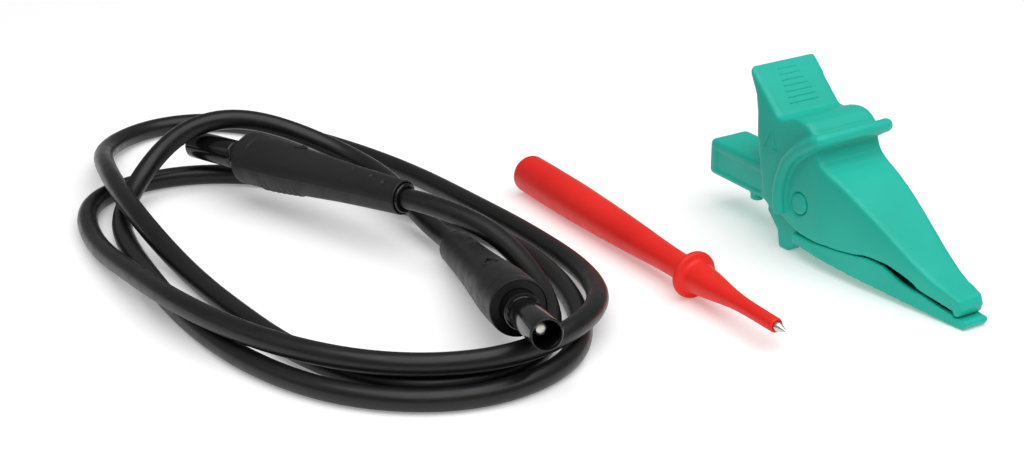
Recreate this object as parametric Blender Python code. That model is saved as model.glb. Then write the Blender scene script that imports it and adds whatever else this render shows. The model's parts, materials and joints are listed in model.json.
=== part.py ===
"""Test lead set of a handheld oscilloscope: shielded lead, test probe and dolphin clip.

Everything is written in millimetres and turned into metres as it is placed. The floor is z = 0.
Long pieces are drawn along their own +X axis and then laid down in the set's frame.
"""

from math import cos, pi, radians, sin

import bmesh
import bpy
from mathutils import Matrix, Vector

MM = 0.001
GAP = 0.3
ROUND_SEGMENTS = 32

# Where the set's origin lies in the layout that the pieces below are placed in.
SET_ORIGIN = Vector((11.91, -28.95, 0.0))

# 4 mm shrouded safety plug and the sockets that take it.
PIN_RADIUS = 2.0
SHROUD_OUTER = 4.0
SHROUD_INNER = 3.4
SOCKET_BORE = 4.35
SOCKET_TUBE_OUTER = 2.8
SOCKET_TUBE_INNER = 2.05
SOCKET_DEPTH = 24.0

# Plugs at the lead's two ends, each drawn from its tail at x = 0 to the shroud's mouth.
GRIP_LENGTH = 59.0
PLUG_LENGTH = 81.5
BUSH_LENGTH = 8.0
CORE_START = 25.0
CORE_STEP = 50.0
PIN_RECESS = 4.6
PLUG_A_TAIL = Vector((-28.5, -12.9, 16.1))
PLUG_A_DIRECTION = Vector((-0.772, 0.633, -0.054)).normalized()
PLUG_B_MOUTH = Vector((7.9, -98.3, 17.85))
PLUG_B_DIRECTION = Vector((0.276, -0.949, 0.154)).normalized()
PLUG_B_TAIL = PLUG_B_MOUTH - PLUG_B_DIRECTION * PLUG_LENGTH

# Cable.
CABLE_RADIUS = 2.8
CABLE_INSERTION = 11.0
CABLE_STRAIGHT = 9.0
CABLE_POINTS = 80
CABLE_FINE_POINTS = 640
CABLE_EASING_ROUNDS = 36
CABLE_HELD_STRAIGHT = 18.0
CABLE_EASING_BLEND = 8.0
CABLE_ROUTE = [
    (-13, -25, 16.2), (-3, -31.5, 13.6), (10, -55, 4.0), (4, -84, 2.8), (-23, -95, 2.8),
    (-49, -79, 2.8), (-68, -55, 2.8), (-85, -30, 3.6), (-102, -5, 9.4), (-114, 23, 9.8),
    (-120.5, 53, 4.6), (-112, 75, 2.9), (-93, 82, 2.8), (-71, 73, 2.8), (-50, 58, 2.8),
    (-30, 39, 2.8), (-11, 15, 2.8), (7, -10, 2.8), (19.3, -37, 4.8), (20.3, -67, 8.8),
    (1, -90, 8.4), (-28, -95, 8.6), (-57, -83, 8.6), (-80, -63, 8.6), (-97, -38, 6.0),
    (-112, -11, 2.8), (-118, 18, 2.8), (-96, 37, 2.8), (-66, 35, 2.8), (-39, 21, 2.8),
    (-15, 2, 2.8), (5, -21, 2.8), (16, -50, 2.8), (15, -80, 2.8), (-7, -100, 2.8),
    (-37, -99, 2.8), (-62, -82, 2.8), (-81, -57, 2.8), (-95, -30, 2.8), (-105, -7, 2.8),
    (-108, 9, 2.8), (-103.5, 25, 9.6), (-94, 33, 18.9), (-80, 36.5, 21.4), (-66, 38.5, 17.2),
    (-52, 36, 12.0), (-41, 28, 9.2), (-33, 15, 9.2), (-27, 3.5, 6.4), (-21.5, -5.5, 4.0),
]

# Probe, drawn from its rear face at x = 0 to the metal tip.
PROBE_LENGTH = 117.5
PROBE_TIP_LENGTH = 3.6
PROBE_ROD_RADIUS = 1.2
PROBE_GUARD_AT = 82.5
PROBE_GUARD_RADIUS = 6.3
PROBE_REAR = Vector((4.9, 31.2, 5.66))
PROBE_FRONT = Vector((64.7, -72.6, 6.6))

# Clip: s runs from the hook foot to the jaw tip, w across and z up.
CLIP_FOOT = Vector((81.4, -7.1, 0.0))
CLIP_HEADING = radians(-57.5)
CLIP_HALF_WIDTH = 11.0
CLIP_WALL = 1.8
GUARD_RING_RADIUS = 1.7
LOWER_WALL = 1.6
CHEEK_WALL = 1.9
CHEEK_HALF_WIDTH = CLIP_HALF_WIDTH - CLIP_WALL - GAP
CLIP_REAR = -30.0
PIVOT_S = 5.5
PIVOT_Z = 16.3
PIVOT_PIN_RADIUS = 2.6
SOCKET_REAR_S = -38.5
SOCKET_FRONT_S = -8.6
SOCKET_AXIS_Z = 14.75
SOCKET_HALF_WIDTH = 6.6
SOCKET_HALF_HEIGHT = 5.25
CONTACT_HALF_WIDTH = 1.9
CONDUCTOR_HALF_WIDTH = 2.0
SPRING_WIRE_RADIUS = 0.55

# Half width of the jaws along the clip, as (s, w).
CLIP_PLAN = [
    (12.0, 11.0), (16.0, 10.5), (26.0, 9.4), (37.0, 7.6), (48.0, 5.8), (59.5, 3.9), (62.0, 3.7),
]

# Side outlines of the clip, as (s, z).
UPPER_OUTLINE = [
    (-16.5, 47.3), (-5.0, 37.2), (-2.5, 37.3), (0.5, 38.6), (3.5, 39.2), (6.5, 38.8), (8.8, 37.4),
    (10.4, 35.2), (11.0, 32.0), (12.2, 29.6), (15.0, 28.0), (20.0, 26.1), (25.0, 23.7),
    (31.0, 20.5), (37.0, 17.0), (43.0, 13.4), (49.0, 10.4), (54.0, 8.6), (58.3, 7.4),
    (59.4, 5.3), (58.7, 2.9), (57.3, 2.9), (56.8, 4.1), (47.0, 5.9), (41.0, 8.0), (36.0, 9.2),
    (30.0, 9.4), (20.0, 8.1), (12.0, 7.6), (6.0, 7.8), (1.0, 9.4), (-2.5, 11.0), (-6.3, 10.9),
    (-9.8, 13.0), (-10.8, 18.0), (-12.3, 24.0), (-13.2, 31.0), (-13.4, 36.0), (-14.4, 41.0),
    (-16.6, 45.6),
]
UPPER_HOLLOW = [
    (-20.0, 47.8), (-5.3, 34.6), (-2.0, 34.9), (3.5, 36.9), (6.3, 36.4), (8.2, 34.6), (9.0, 31.5),
    (10.6, 28.2), (14.2, 26.2), (24.2, 21.9), (36.1, 15.3), (48.1, 8.7), (55.0, 6.4),
    (55.0, -2.0), (-20.0, -2.0),
]
LOWER_OUTLINE = [
    (3.2, 4.3), (59.0, 0.0), (60.6, 0.3), (61.5, 1.6), (61.0, 2.5), (57.2, 2.5), (56.4, 3.6),
    (47.0, 5.2), (41.0, 7.1), (36.0, 8.2), (30.0, 8.8), (20.0, 7.7), (12.0, 7.2), (6.0, 7.2),
    (3.2, 7.2),
]
LOWER_HOLLOW = [(5.0, 5.8), (55.0, 2.0), (55.0, 12.0), (5.0, 12.0)]
CHEEK_OUTLINE = [
    (-9.5, 20.0), (-3.0, 22.5), (3.0, 23.5), (9.0, 22.0), (13.0, 17.5), (13.5, 7.2), (13.5, 3.6),
    (3.2, 4.3), (-0.6, 0.0), (-4.3, 0.0), (-5.2, 4.6), (-9.6, 8.8),
]
CHEEK_SLOT = [(-7.9, 30.0), (-7.9, 9.6), (-3.6, 5.9), (20.0, 5.2), (20.0, 30.0)]


def clear_scene():
    for old in list(bpy.data.objects):
        bpy.data.objects.remove(old, do_unlink=True)


def material(name, colour, roughness, metallic=0.0):
    made = bpy.data.materials.new(name)
    made.use_nodes = True
    shader = made.node_tree.nodes["Principled BSDF"]
    shader.inputs["Base Color"].default_value = (*colour, 1.0)
    shader.inputs["Roughness"].default_value = roughness
    shader.inputs["Metallic"].default_value = metallic
    return made


def along(start, direction):
    """Frame whose +X runs along direction, with +Z as near to up as it can be."""
    x = Vector(direction).normalized()
    y = Vector((0, 0, 1)).cross(x).normalized()
    z = x.cross(y)
    turn = Matrix((x, y, z)).transposed().to_4x4()
    place = Vector(start) - SET_ORIGIN
    return Matrix.Translation(place * MM) @ turn @ Matrix.Scale(MM, 4)


def add_object(name, mesh, frame, finish):
    """Put a mesh drawn in millimetres into the scene, at its real size and place."""
    mesh.transform(frame)
    mesh.materials.append(finish)
    made = bpy.data.objects.new(name, mesh)
    bpy.context.scene.collection.objects.link(made)
    return made


def finish_mesh(work, name):
    bmesh.ops.remove_doubles(work, verts=work.verts, dist=0.0001)
    bmesh.ops.recalc_face_normals(work, faces=work.faces)
    mesh = bpy.data.meshes.new(name)
    work.to_mesh(mesh)
    work.free()
    mesh.shade_smooth()
    mesh.set_sharp_from_angle(angle=radians(35))
    return mesh


def turned_mesh(name, outline, segments=ROUND_SEGMENTS):
    """Solid turned about the X axis from a closed outline of (x, radius) points."""
    work = bmesh.new()
    rings = []
    for x, radius in outline:
        if radius == 0:
            rings.append([work.verts.new((x, 0, 0))] * segments)
            continue
        ring = []
        for step in range(segments):
            turn = 2 * pi * step / segments
            ring.append(work.verts.new((x, radius * cos(turn), radius * sin(turn))))
        rings.append(ring)
    for ring, following in zip(rings, rings[1:] + rings[:1]):
        for step in range(segments):
            after = (step + 1) % segments
            corners = [ring[step], ring[after], following[after], following[step]]
            corners = list(dict.fromkeys(corners))
            if len(corners) > 2:
                work.faces.new(corners)
    return finish_mesh(work, name)


def turned(name, outline, frame, finish, segments=ROUND_SEGMENTS):
    return add_object(name, turned_mesh(name, outline, segments), frame, finish)


def prism_mesh(name, outline, low, high, bevel=0.0):
    """Straight prism: an (s, z) outline swept across from w = low to w = high."""
    work = bmesh.new()
    near = [work.verts.new((s, low, z)) for s, z in outline]
    far = [work.verts.new((s, high, z)) for s, z in outline]
    work.faces.new(near)
    work.faces.new(far[::-1])
    for index in range(len(outline)):
        after = (index + 1) % len(outline)
        work.faces.new((near[after], near[index], far[index], far[after]))
    bmesh.ops.recalc_face_normals(work, faces=work.faces)
    if bevel:
        rims = [edge for edge in work.edges if edge.verts[0].co.y == edge.verts[1].co.y]
        bmesh.ops.bevel(work, geom=rims, offset=bevel, segments=2, profile=0.5, affect="EDGES",
                        clamp_overlap=True)
    return finish_mesh(work, name)


def plan_mesh(name, outline, low, high):
    """Straight prism: an (s, w) plan outline raised from z = low to z = high."""
    work = bmesh.new()
    floor = [work.verts.new((s, w, low)) for s, w in outline]
    roof = [work.verts.new((s, w, high)) for s, w in outline]
    work.faces.new(floor)
    work.faces.new(roof[::-1])
    for index in range(len(outline)):
        after = (index + 1) % len(outline)
        work.faces.new((floor[after], floor[index], roof[index], roof[after]))
    bmesh.ops.recalc_face_normals(work, faces=work.faces)
    return finish_mesh(work, name)


def tool(name, mesh, frame):
    """Guide for a Boolean, kept out of the model."""
    mesh.transform(frame)
    made = bpy.data.objects.new(name, mesh)
    bpy.context.scene.collection.objects.link(made)
    made.hide_render = True
    made.display_type = "WIRE"
    return made


def combine(body, operation, other):
    step = body.modifiers.new(operation.lower() + "_" + other.name, "BOOLEAN")
    step.operation = operation
    step.solver = "EXACT"
    step.object = other


def even_points(line, count):
    """Points a constant length apart along a line of points."""
    travelled = [0.0]
    for start, stop in zip(line, line[1:]):
        travelled.append(travelled[-1] + (stop - start).length)
    points = []
    index = 0
    for step in range(count):
        target = travelled[-1] * step / (count - 1)
        while index < len(line) - 2 and travelled[index + 1] < target:
            index += 1
        share = (target - travelled[index]) / (travelled[index + 1] - travelled[index])
        points.append(line[index].lerp(line[index + 1], min(share, 1.0)))
    return points


def smooth_points(route, count):
    """Even points along the smooth curve that passes through every point of the route."""
    ends = [2 * route[0] - route[1]] + route + [2 * route[-1] - route[-2]]
    fine = []
    for before, start, stop, after in zip(ends, ends[1:], ends[2:], ends[3:]):
        for step in range(24):
            t = step / 24
            bend = (2 * before - 5 * start + 4 * stop - after) * t * t
            twist = (3 * start - before - 3 * stop + after) * t * t * t
            fine.append(start + 0.5 * ((stop - before) * t + bend + twist))
    fine.append(route[-1])
    return even_points(fine, count)


def eased(points, rounds, straight, blend):
    """Points with their bends evened out, except for a straight length at each end."""
    spacing = (points[1] - points[0]).length
    last = len(points) - 1
    for _ in range(rounds):
        before = [point.copy() for point in points]
        for index in range(1, last):
            reach = min(index, last - index) * spacing
            share = min(max((reach - straight) / blend, 0.0), 1.0)
            middle = (before[index - 1] + 2 * before[index] + before[index + 1]) / 4
            points[index] = before[index].lerp(middle, share)
    return points


def cable():
    """Free cable between the two plugs, straight where it leaves each of them."""
    route = [PLUG_A_TAIL + PLUG_A_DIRECTION * CABLE_INSERTION, PLUG_A_TAIL,
             PLUG_A_TAIL - PLUG_A_DIRECTION * CABLE_STRAIGHT]
    route += [Vector(point) for point in CABLE_ROUTE]
    route += [PLUG_B_TAIL - PLUG_B_DIRECTION * CABLE_STRAIGHT, PLUG_B_TAIL,
              PLUG_B_TAIL + PLUG_B_DIRECTION * CABLE_INSERTION]
    curve = bpy.data.curves.new("cable", "CURVE")
    curve.dimensions = "3D"
    curve.bevel_depth = CABLE_RADIUS * MM
    curve.bevel_resolution = 4
    curve.use_fill_caps = True
    spline = curve.splines.new("POLY")
    fine = smooth_points(route, CABLE_FINE_POINTS)
    for point in fine:
        point.z = max(point.z, CABLE_RADIUS)
    fine = eased(fine, CABLE_EASING_ROUNDS, CABLE_HELD_STRAIGHT, CABLE_EASING_BLEND)
    points = even_points(fine, CABLE_POINTS)
    spline.points.add(len(points) - 1)
    for knot, point in zip(spline.points, points):
        knot.co = (*((point - SET_ORIGIN) * MM), 1.0)
    curve.materials.append(BLACK_CABLE)
    made = bpy.data.objects.new("cable", curve)
    bpy.context.scene.collection.objects.link(made)
    return made


def plug(label, tail, direction):
    """One moulded grip with its 4 mm pin inside an insulating shroud."""
    frame = along(tail, direction)
    shroud_start = CORE_STEP + 2.3
    pin_end = PLUG_LENGTH - PIN_RECESS
    turned(f"plug_{label}_grip", [
        (0.0, 4.3), (0.5, 4.7), (3.0, 4.75), (20.0, 5.4), (34.0, 6.3), (46.0, 7.1), (57.0, 7.25),
        (58.3, 7.05), (59.0, 6.5), (CORE_STEP - GAP, 6.5), (CORE_STEP - GAP, 4.6),
        (CORE_START - 11.0, 4.6), (CORE_START - 11.0, CABLE_RADIUS + GAP),
        (BUSH_LENGTH, CABLE_RADIUS + GAP), (BUSH_LENGTH, 4.3),
    ], frame, BLACK_GRIP)
    turned(f"plug_{label}_cable_bush", [
        (-0.8, CABLE_RADIUS + GAP), (-0.8, 3.7), (-0.5, 4.0), (BUSH_LENGTH - GAP, 4.0),
        (BUSH_LENGTH - GAP, CABLE_RADIUS + GAP),
    ], frame, BLACK_GLOSS)
    turned(f"plug_{label}_ferrule", [
        (CABLE_INSERTION + GAP, 0.0), (CABLE_INSERTION + GAP, 2.6), (17.5, 2.6), (18.5, 2.0),
        (CORE_START - 2.0, 2.0), (CORE_START - 2.0, 0.0),
    ], frame, NICKEL, 20)
    turned(f"plug_{label}_core", [
        (CORE_START, PIN_RADIUS + GAP), (CORE_START, 4.3), (CORE_STEP, 4.3), (CORE_STEP, 6.2),
        (GRIP_LENGTH - 0.5, 6.2), (GRIP_LENGTH - 0.5, 4.9), (CORE_STEP + 2.0, 4.9),
        (CORE_STEP + 2.0, PIN_RADIUS + GAP),
    ], frame, BLACK_GRIP)
    turned(f"plug_{label}_shroud", [
        (shroud_start, PIN_RADIUS + GAP), (shroud_start, 4.6), (62.6, 4.6), (62.9, 4.3),
        (62.9, 3.7), (64.0, 3.7), (64.3, SHROUD_OUTER), (PLUG_LENGTH - 0.3, SHROUD_OUTER),
        (PLUG_LENGTH, SHROUD_OUTER - 0.3), (PLUG_LENGTH, SHROUD_INNER), (64.0, SHROUD_INNER),
        (64.0, PIN_RADIUS + GAP),
    ], frame, BLACK_GLOSS)
    turned(f"plug_{label}_pin", [
        (CORE_START - 1.0, 0.0), (CORE_START - 1.0, PIN_RADIUS), (65.0, PIN_RADIUS),
        (65.4, 1.5), (73.6, 1.5), (74.0, PIN_RADIUS), (pin_end - 0.8, PIN_RADIUS),
        (pin_end, 1.3), (pin_end, 0.0),
    ], frame, NICKEL)
    turned(f"plug_{label}_spring_cage", [
        (65.7, 1.8), (65.7, 2.0), (67.5, 2.15), (71.5, 2.15), (73.3, 2.0), (73.3, 1.8),
    ], frame, NICKEL)


def probe():
    """Red test probe: a hollow handle with its guard and nose, a socket tube and a rod."""
    frame = along(PROBE_REAR, PROBE_FRONT - PROBE_REAR)
    rod_bore = PROBE_ROD_RADIUS + GAP
    guard = PROBE_GUARD_AT
    turned("probe_handle", [
        (0.0, 4.9), (0.2, 5.2), (0.8, 5.4), (12.0, 5.45), (25.0, 5.4), (36.0, 5.1), (46.0, 4.75),
        (56.0, 4.3), (64.0, 3.85), (71.0, 3.55), (guard - 2.4, 3.55), (guard - 1.7, 3.9),
        (guard - 1.3, 5.2), (guard - 0.9, 6.0), (guard - 0.2, PROBE_GUARD_RADIUS),
        (guard + 0.4, PROBE_GUARD_RADIUS), (guard + 1.0, 5.9), (guard + 1.4, 5.0),
        (guard + 1.9, 4.4), (guard + 2.8, 4.1), (88.0, 3.95), (92.0, 3.5), (96.0, 2.9),
        (101.0, 2.2), (106.0, 1.95), (PROBE_LENGTH - 0.5, 1.9), (PROBE_LENGTH, 1.6),
        (PROBE_LENGTH, rod_bore), (34.3, rod_bore), (34.3, SOCKET_TUBE_OUTER + GAP),
        (SOCKET_DEPTH, SOCKET_TUBE_OUTER + GAP), (SOCKET_DEPTH, SOCKET_BORE), (0.0, SOCKET_BORE),
    ], frame, RED_PLASTIC)
    turned("probe_socket_tube", [
        (3.0, SOCKET_TUBE_INNER), (3.0, SOCKET_TUBE_OUTER), (34.0, SOCKET_TUBE_OUTER),
        (34.0, 0.0), (28.0, 0.0), (28.0, SOCKET_TUBE_INNER),
    ], frame, NICKEL, 24)
    tip = PROBE_LENGTH + PROBE_TIP_LENGTH
    turned("probe_contact_rod", [
        (34.6, 0.0), (34.6, PROBE_ROD_RADIUS), (PROBE_LENGTH + 0.8, PROBE_ROD_RADIUS),
        (tip - 0.25, 0.3), (tip, 0.0),
    ], frame, NICKEL, 20)


def clip_plan(inset):
    """Plan outline of the jaws, as wide as the clip at the rear and tapering to the tip."""
    side = [(s, w - inset) for s, w in CLIP_PLAN]
    half = [(CLIP_REAR, CLIP_HALF_WIDTH - inset)] + side
    return half + [(s, -w) for s, w in reversed(half)]


def guard_ring(frame):
    """Raised bead round the lever: up one side, over the top and down the other."""
    side = [(-4.3, 11.6), (-4.8, 16.0), (-3.9, 22.0), (-1.4, 28.0), (2.8, 32.6), (7.6, 35.4),
            (10.9, 36.7)]
    reach = CLIP_HALF_WIDTH + 0.3
    corner = reach - 1.6
    near = [Vector((s, -reach, z)) for s, z in side]
    over = [Vector((12.2, -corner, 37.2)), Vector((12.5, 0.0, 37.4)), Vector((12.2, corner, 37.2))]
    far = [Vector((s, reach, z)) for s, z in reversed(side)]
    curve = bpy.data.curves.new("guard_ring", "CURVE")
    curve.dimensions = "3D"
    curve.bevel_depth = GUARD_RING_RADIUS
    curve.bevel_resolution = 3
    curve.use_fill_caps = True
    spline = curve.splines.new("POLY")
    points = smooth_points(near + over + far, 44)
    spline.points.add(len(points) - 1)
    for knot, point in zip(spline.points, points):
        knot.co = (*point, 1.0)
    guide = bpy.data.objects.new("guard_ring_guide", curve)
    mesh = bpy.data.meshes.new_from_object(guide)
    bpy.data.objects.remove(guide, do_unlink=True)
    return tool("guard_ring", mesh, frame)


def across(s, z, low):
    """Frame of a round piece that lies across the clip."""
    return Matrix.Translation((s, low, z)) @ Matrix.Rotation(pi / 2, 4, "Z")


def pin_hole(name, frame, radius):
    outline = [(0.0, 0.0), (0.0, radius), (40.0, radius), (40.0, 0.0)]
    mesh = turned_mesh(name, outline)
    return tool(name, mesh, frame @ across(PIVOT_S, PIVOT_Z, -20.0))


def upper_jaw(frame):
    """Lever and jaw in one hollow moulding, open underneath."""
    shell = add_object("clip_upper_jaw",
                       prism_mesh("clip_upper_jaw", UPPER_OUTLINE, -CLIP_HALF_WIDTH,
                                  CLIP_HALF_WIDTH, 0.9),
                       frame, TEAL_PLASTIC)
    hollow_half = CLIP_HALF_WIDTH - CLIP_WALL
    taper = tool("upper_taper", plan_mesh("upper_taper", clip_plan(0.0), -5.0, 60.0), frame)
    inner = tool("upper_hollow",
                 prism_mesh("upper_hollow", UPPER_HOLLOW, -hollow_half, hollow_half), frame)
    inner_taper = tool("upper_hollow_taper",
                       plan_mesh("upper_hollow_taper", clip_plan(CLIP_WALL), -5.0, 60.0), frame)
    combine(inner, "INTERSECT", inner_taper)
    combine(shell, "INTERSECT", taper)
    combine(shell, "UNION", guard_ring(frame))
    combine(shell, "DIFFERENCE", inner)
    combine(shell, "DIFFERENCE", pin_hole("upper_pin_hole", frame, PIVOT_PIN_RADIUS + GAP))
    return shell


def box_mesh(name, low, high, bevel, segments):
    """Block between two corners with every edge rounded."""
    work = bmesh.new()
    bmesh.ops.create_cube(work, size=1.0)
    size = Vector(high) - Vector(low)
    middle = (Vector(high) + Vector(low)) / 2
    for vert in work.verts:
        vert.co = Vector((vert.co.x * size.x, vert.co.y * size.y, vert.co.z * size.z)) + middle
    bmesh.ops.bevel(work, geom=work.edges, offset=bevel, segments=segments, profile=0.5,
                    affect="EDGES")
    return finish_mesh(work, name)


def lower_jaw(frame):
    """Lower jaw with its cheeks, hook foot and socket sleeve in one moulding."""
    body = add_object("clip_lower_jaw",
                      prism_mesh("clip_lower_jaw", LOWER_OUTLINE, -CLIP_HALF_WIDTH,
                                 CLIP_HALF_WIDTH, 0.6),
                      frame, TEAL_PLASTIC)
    taper = tool("lower_taper", plan_mesh("lower_taper", clip_plan(0.0), -5.0, 60.0), frame)
    inner = tool("lower_hollow",
                 prism_mesh("lower_hollow", LOWER_HOLLOW, -CLIP_HALF_WIDTH, CLIP_HALF_WIDTH), frame)
    inner_taper = tool("lower_hollow_taper",
                       plan_mesh("lower_hollow_taper", clip_plan(LOWER_WALL), -5.0, 60.0), frame)
    combine(inner, "INTERSECT", inner_taper)
    cheeks = tool("cheeks",
                  prism_mesh("cheeks", CHEEK_OUTLINE, -CHEEK_HALF_WIDTH, CHEEK_HALF_WIDTH, 0.5), frame)
    slot_half = CHEEK_HALF_WIDTH - CHEEK_WALL
    slot = tool("cheek_slot", prism_mesh("cheek_slot", CHEEK_SLOT, -slot_half, slot_half), frame)
    low = (SOCKET_REAR_S, -SOCKET_HALF_WIDTH, SOCKET_AXIS_Z - SOCKET_HALF_HEIGHT)
    high = (SOCKET_FRONT_S, SOCKET_HALF_WIDTH, SOCKET_AXIS_Z + SOCKET_HALF_HEIGHT)
    sleeve = tool("socket_sleeve", box_mesh("socket_sleeve", low, high, 1.3, 3), frame)
    stub_outline = [(7.6, 0.0), (7.6, 1.5), (7.9, 1.9), (10.4, 1.9), (10.4, 0.0)]
    stub = tool("socket_stub", turned_mesh("socket_stub", stub_outline, 20),
                frame @ Matrix.Translation((-19.5, -4.2, 0.0)) @ Matrix.Rotation(-pi / 2, 4, "Y"))
    bore = tool("socket_bore", turned_mesh("socket_bore", [
        (-2.0, 0.0), (-2.0, SOCKET_BORE), (SOCKET_DEPTH, SOCKET_BORE),
        (SOCKET_DEPTH, SOCKET_TUBE_OUTER + GAP), (40.0, SOCKET_TUBE_OUTER + GAP), (40.0, 0.0),
    ]), frame @ Matrix.Translation((SOCKET_REAR_S, 0.0, SOCKET_AXIS_Z)))
    combine(body, "INTERSECT", taper)
    combine(body, "DIFFERENCE", inner)
    combine(body, "UNION", cheeks)
    combine(body, "DIFFERENCE", slot)
    combine(body, "UNION", sleeve)
    combine(body, "UNION", stub)
    combine(body, "DIFFERENCE", bore)
    combine(body, "DIFFERENCE", pin_hole("lower_pin_hole", frame, PIVOT_PIN_RADIUS + GAP))
    return body


def toothed(start, stop, count, depth):
    """Saw-tooth line from start to stop, its teeth pointing up when depth is positive."""
    start = Vector(start)
    stop = Vector(stop)
    points = []
    for step in range(count):
        root = start.lerp(stop, step / count)
        crest = start.lerp(stop, (step + 0.5) / count)
        points.append((root.x, root.y))
        points.append((crest.x, crest.y + depth))
    points.append((stop.x, stop.y))
    return points


def jaw_contacts(frame):
    """Metal strips inside the jaws, with their teeth facing each other."""
    lower = [(55.0, 2.4), (16.0, 5.3), (16.0, 6.2), (28.0, 6.4)]
    lower += toothed((28.0, 6.4), (40.0, 5.0), 6, 0.7)[1:]
    lower += toothed((40.0, 5.0), (54.4, 3.1), 8, 0.6)[1:]
    add_object("clip_lower_contact",
               prism_mesh("clip_lower_contact", lower, -CONTACT_HALF_WIDTH, CONTACT_HALF_WIDTH),
               frame, NICKEL)
    upper = [(24.0, 17.5), (36.0, 13.2), (47.0, 8.4), (54.4, 6.0)]
    upper += toothed((54.4, 4.9), (40.0, 8.9), 8, -0.5)
    upper += toothed((40.0, 8.9), (27.0, 11.0), 6, -0.6)[1:]
    upper += [(24.0, 14.0)]
    return add_object("clip_upper_contact",
                      prism_mesh("clip_upper_contact", upper, -CONTACT_HALF_WIDTH, CONTACT_HALF_WIDTH),
                      frame, NICKEL)


def socket_contact(frame):
    """Contact tube of the clip's socket and the strip that carries it to the lower jaw."""
    place = frame @ Matrix.Translation((SOCKET_REAR_S, 0.0, SOCKET_AXIS_Z))
    length = SOCKET_FRONT_S - SOCKET_REAR_S
    tube = turned_mesh("clip_socket_tube", [
        (3.0, SOCKET_TUBE_INNER), (3.0, SOCKET_TUBE_OUTER), (length, SOCKET_TUBE_OUTER), (length, 0.0),
        (27.0, 0.0), (27.0, SOCKET_TUBE_INNER),
    ], 24)
    add_object("clip_socket_tube", tube, place, NICKEL)
    strip = [
        (-7.4, 15.6), (-6.9, 15.6), (-6.9, 11.2), (-2.8, 7.0), (15.4, 6.4), (15.4, 5.8), (-3.2, 6.4),
        (-7.4, 10.8),
    ]
    mesh = prism_mesh("clip_conductor_strip", strip, -CONDUCTOR_HALF_WIDTH, CONDUCTOR_HALF_WIDTH)
    add_object("clip_conductor_strip", mesh, frame, NICKEL)


def pivot(frame):
    """Pivot pin through both jaws, standing slightly proud at each end."""
    half = CLIP_HALF_WIDTH + 0.4
    length = 2 * half
    chamfer = 0.3
    outline = [
        (0.0, 0.0), (0.0, PIVOT_PIN_RADIUS - chamfer), (chamfer, PIVOT_PIN_RADIUS),
        (length - chamfer, PIVOT_PIN_RADIUS), (length, PIVOT_PIN_RADIUS - chamfer), (length, 0.0),
    ]
    place = frame @ across(PIVOT_S, PIVOT_Z, -half)
    turned("clip_pivot_pin", outline, place, TEAL_PLASTIC, 24)


def spring(frame):
    """Torsion spring on the pivot pin, one leg down the floor and one up under the lever."""
    coil_radius = 3.8
    turns = 4
    per_turn = 14
    half = 3.2
    floor_angle = radians(-125)
    lever_angle = radians(118)
    sweep = 2 * pi * turns + lever_angle - floor_angle
    steps = int((turns + 0.7) * per_turn)
    points = [Vector((-3.2, -half, 8.6))]
    for step in range(steps + 1):
        turn = floor_angle + sweep * step / steps
        w = -half + 2 * half * step / steps
        s = PIVOT_S + coil_radius * cos(turn)
        points.append(Vector((s, w, PIVOT_Z + coil_radius * sin(turn))))
    points.append(Vector((-6.0, half, 33.6)))
    curve = bpy.data.curves.new("clip_spring", "CURVE")
    curve.dimensions = "3D"
    curve.bevel_depth = SPRING_WIRE_RADIUS * MM
    curve.bevel_resolution = 1
    curve.use_fill_caps = True
    spline = curve.splines.new("POLY")
    spline.points.add(len(points) - 1)
    for knot, point in zip(spline.points, points):
        knot.co = (*(frame @ point), 1.0)
    curve.materials.append(STEEL)
    made = bpy.data.objects.new("clip_spring", curve)
    bpy.context.scene.collection.objects.link(made)
    return made


def clip():
    heading = Vector((cos(CLIP_HEADING), sin(CLIP_HEADING), 0.0))
    frame = along(CLIP_FOOT, heading)
    hinge = bpy.data.objects.new("clip_hinge", None)
    hinge.location = frame @ Vector((PIVOT_S, 0.0, PIVOT_Z))
    hinge.rotation_euler.z = CLIP_HEADING
    bpy.context.scene.collection.objects.link(hinge)
    moving = [upper_jaw(frame), jaw_contacts(frame)]
    bpy.context.view_layer.update()
    for piece in moving:
        piece.parent = hinge
        piece.matrix_parent_inverse = hinge.matrix_world.inverted()
    lower_jaw(frame)
    socket_contact(frame)
    pivot(frame)
    spring(frame)


clear_scene()

BLACK_GRIP = material("black_soft_grip", (0.014, 0.014, 0.015), 0.55)
BLACK_CABLE = material("black_cable_jacket", (0.012, 0.012, 0.013), 0.4)
BLACK_GLOSS = material("black_gloss_plastic", (0.008, 0.008, 0.009), 0.15)
RED_PLASTIC = material("red_plastic", (0.80, 0.02, 0.015), 0.35)
TEAL_PLASTIC = material("teal_plastic", (0.02, 0.52, 0.40), 0.35)
NICKEL = material("nickel_plate", (0.75, 0.74, 0.70), 0.2, 1.0)
STEEL = material("spring_steel", (0.55, 0.55, 0.56), 0.3, 1.0)

cable()
plug("a", PLUG_A_TAIL, PLUG_A_DIRECTION)
plug("b", PLUG_B_TAIL, PLUG_B_DIRECTION)
probe()
clip()
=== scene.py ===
"""Looks of the oscilloscope test lead set: shielded lead, test probe and dolphin clip.

Sizes are in millimetres in each piece's own frame, where +X runs along it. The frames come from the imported
model's mounts and joints, so every piece sits where its CAD node is.
"""

import json
from math import cos, degrees, exp, hypot, pi, radians, sin

import bmesh
import bpy
from mathutils import Matrix, Vector


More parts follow.
